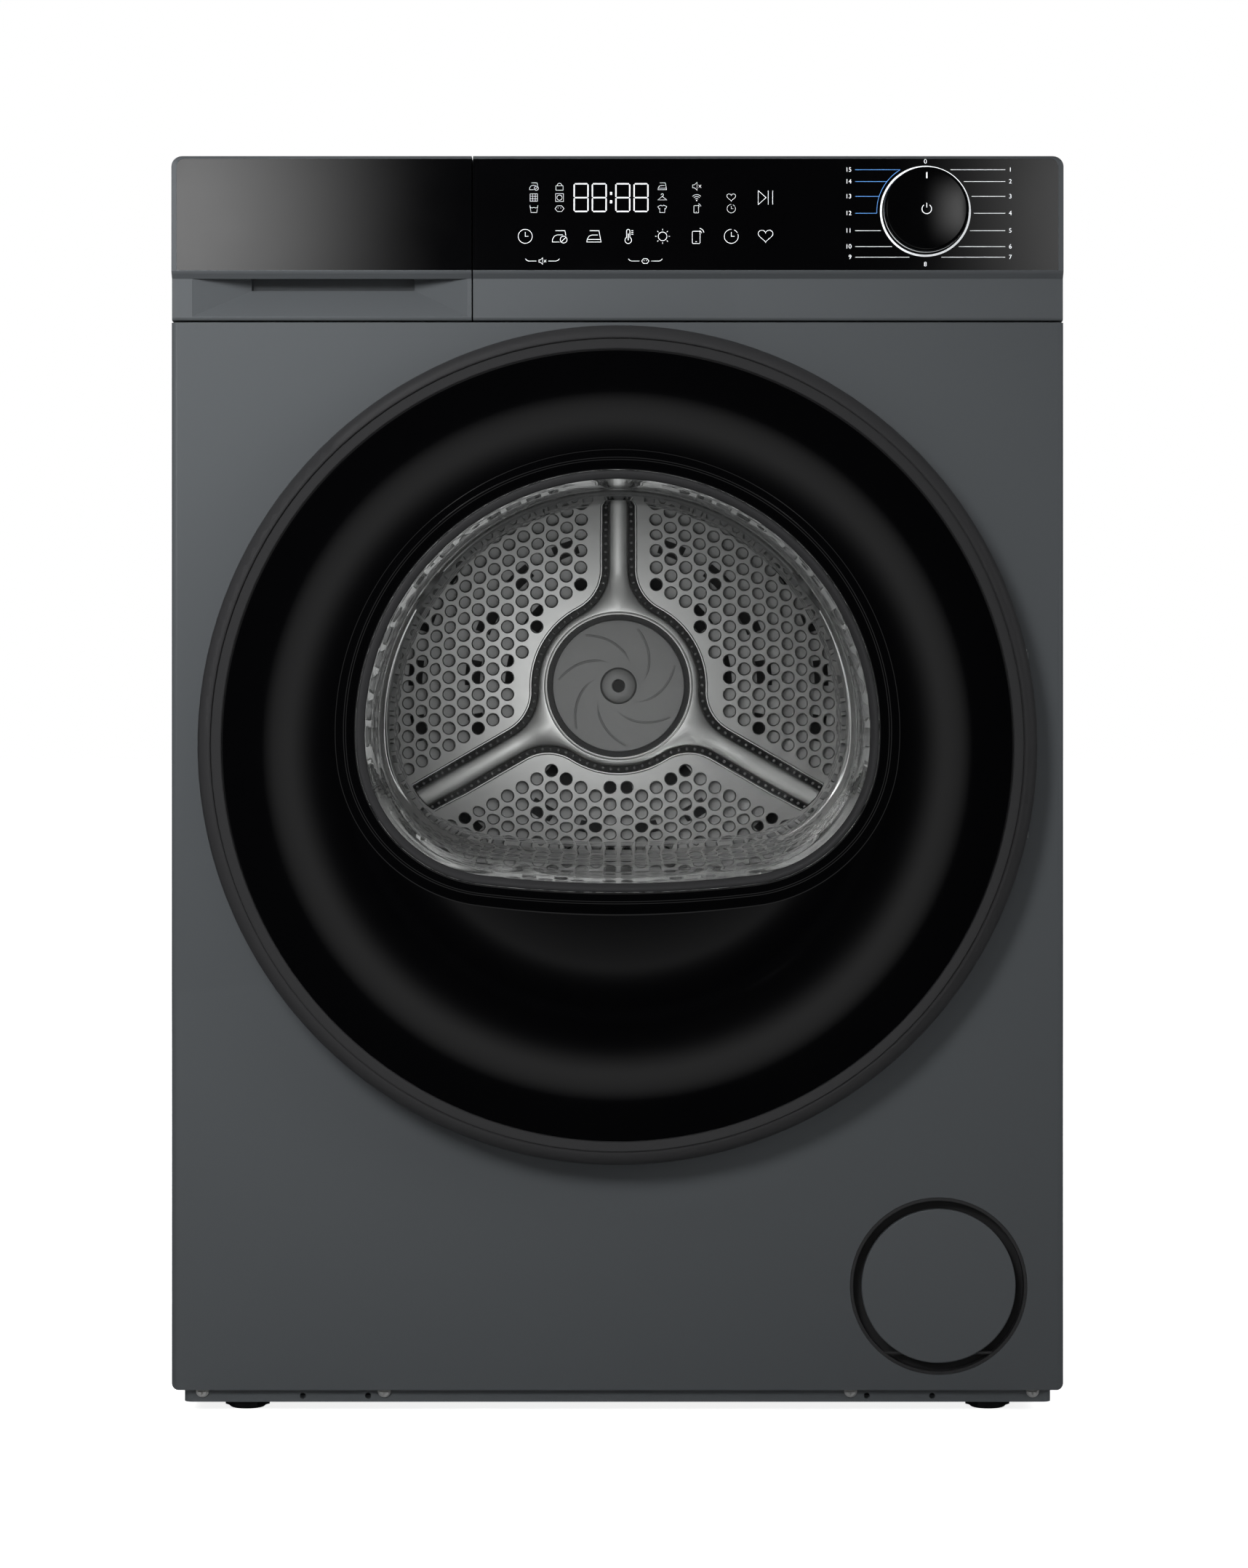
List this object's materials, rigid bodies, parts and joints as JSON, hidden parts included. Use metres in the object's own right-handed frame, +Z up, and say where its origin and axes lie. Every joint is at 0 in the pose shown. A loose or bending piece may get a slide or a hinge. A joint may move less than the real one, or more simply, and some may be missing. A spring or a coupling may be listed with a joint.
{
  "type": "clothes dryer",
  "caption": "Free-standing front-loading tumble dryer with a round glass door, perforated drum, control panel with dial and a pull-out water tank.",
  "frame": {"origin": "on the floor, under the middle of the bounding box", "axes": "+X to the right seen from the front, +Y to the back, +Z up; the door faces -Y"},
  "size_m": [0.6, 0.65, 0.845],
  "materials": {
    "painted_steel": "satin anthracite powder coat",
    "galvanised_steel": "galvanised sheet",
    "base_plastic": "moulded, fine grain",
    "worktop_laminate": "satin laminate",
    "fascia_plastic": "satin anthracite",
    "gloss_black": "high gloss black",
    "satin_black": "satin, dark grey",
    "dial_white": "white light line",
    "bright_steel": "zinc plated",
    "clear_glass": "clear pressed glass",
    "rubber_black": "matte",
    "felt_grey": "pressed felt",
    "stainless": "satin stainless steel",
    "hub_plastic": "moulded grey",
    "duct_plastic": "moulded black",
    "tank_plastic": "translucent grey",
    "fin_aluminium": "thin fins",
    "copper_pipe": "drawn copper",
    "machine_black": "black enamel",
    "cast_aluminium": "die-cast, as cast",
    "foot_black": "hard black plastic"
  },
  "bodies": {
    "cabinet": {"base_pan": "base_plastic", "panel_screws": "bright_steel", "front_panel": "painted_steel", "side_panel_left": "painted_steel", "side_panel_right": "painted_steel", "rear_panel": "galvanised_steel", "worktop": "worktop_laminate", "front_rail": "galvanised_steel", "control_fascia": "fascia_plastic", "fascia_glass": "gloss_black", "dial_ring": "dial_white", "control_board": "base_plastic", "drawer_housing": "base_plastic", "door_gasket": "rubber_black", "hinge_bracket": "galvanised_steel", "hinge_pin": "bright_steel", "door_lock": "satin_black", "drum_support": "base_plastic", "felt_seal": "felt_grey", "filter_housing": "base_plastic", "rear_bearing": "galvanised_steel", "rear_air_duct": "duct_plastic", "drive_belt": "rubber_black", "motor_housing": "cast_aluminium", "blower_housing": "base_plastic", "compressor": "machine_black", "refrigerant_pipe": "copper_pipe", "evaporator_coil": "fin_aluminium", "condenser_coil": "fin_aluminium", "drain_pump": "base_plastic", "service_bezel": "satin_black", "drain_spigot": "satin_black", "cable_gland": "satin_black"},
    "door": {"door_ring": "satin_black", "door_dish": "gloss_black", "door_lip": "satin_black", "door_bowl": "clear_glass", "door_frame": "satin_black", "door_collar": "satin_black", "door_hook": "bright_steel", "hinge_leaf": "bright_steel"},
    "drum": {"drum_shell": "stainless", "drum_wall": "stainless", "drum_spider": "stainless", "drum_hub_cap": "hub_plastic", "drum_lifters": "hub_plastic"},
    "selector": {"selector_knob": "gloss_black"},
    "tank_drawer": {"drawer_front": "fascia_plastic", "drawer_glass": "gloss_black", "tank_body": "tank_plastic", "tank_lid": "tank_plastic"},
    "lint_filter": {"lint_filter": "hub_plastic"},
    "service_flap": {"service_flap": "fascia_plastic"},
    "sump_plug": {"sump_plug": "duct_plastic"},
    "rotor": {"motor_rotor": "bright_steel", "blower_wheel": "duct_plastic"},
    "foot_front_left": {"foot_front_left": "foot_black"},
    "foot_front_right": {"foot_front_right": "foot_black"},
    "foot_rear_left": {"foot_rear_left": "foot_black"},
    "foot_rear_right": {"foot_rear_right": "foot_black"}
  },
  "joints": [
    {"name": "door_hinge", "type": "hinge", "parent": "cabinet", "child": "door", "pos_m": [0.268, -0.309, 0.4489], "axis": [0, 0, 1], "range_deg": [0, 115]},
    {"name": "drum_spin", "type": "hinge", "parent": "cabinet", "child": "drum", "pos_m": [0, 0, 0.494], "axis": [0, 1, 0], "continuous": true},
    {"name": "rotor_spin", "type": "hinge", "parent": "cabinet", "child": "rotor", "pos_m": [0.15, 0, 0.11], "axis": [0, 1, 0], "continuous": true},
    {"name": "selector_turn", "type": "hinge", "parent": "cabinet", "child": "selector", "pos_m": [0.2067, -0.3, 0.8072], "axis": [0, 1, 0], "continuous": true},
    {"name": "tank_slide", "type": "slide", "parent": "cabinet", "child": "tank_drawer", "axis": [0, -1, 0], "range_m": [0, 0.44]},
    {"name": "filter_lift", "type": "slide", "parent": "cabinet", "child": "lint_filter", "axis": [0, 0, 1], "range_m": [0, 0.012]},
    {"name": "flap_hinge", "type": "hinge", "parent": "cabinet", "child": "service_flap", "pos_m": [0.2159, -0.2875, 0.04], "axis": [1, 0, 0], "range_deg": [0, 85]},
    {"name": "plug_turn", "type": "hinge", "parent": "cabinet", "child": "sump_plug", "pos_m": [0.2159, -0.25, 0.0851], "axis": [0, 1, 0], "range_deg": [-90, 0]},
    {"name": "foot_front_left_thread", "type": "slide", "parent": "cabinet", "child": "foot_front_left", "axis": [0, 0, -1], "range_m": [0, 0.015]},
    {"name": "foot_front_right_thread", "type": "slide", "parent": "cabinet", "child": "foot_front_right", "axis": [0, 0, -1], "range_m": [0, 0.015]},
    {"name": "foot_rear_left_thread", "type": "slide", "parent": "cabinet", "child": "foot_rear_left", "axis": [0, 0, -1], "range_m": [0, 0.015]},
    {"name": "foot_rear_right_thread", "type": "slide", "parent": "cabinet", "child": "foot_rear_right", "axis": [0, 0, -1], "range_m": [0, 0.015]}
  ],
  "couplings": [
    {"joint": "rotor_spin", "follows": "drum_spin", "ratio": 27.6}
  ]
}
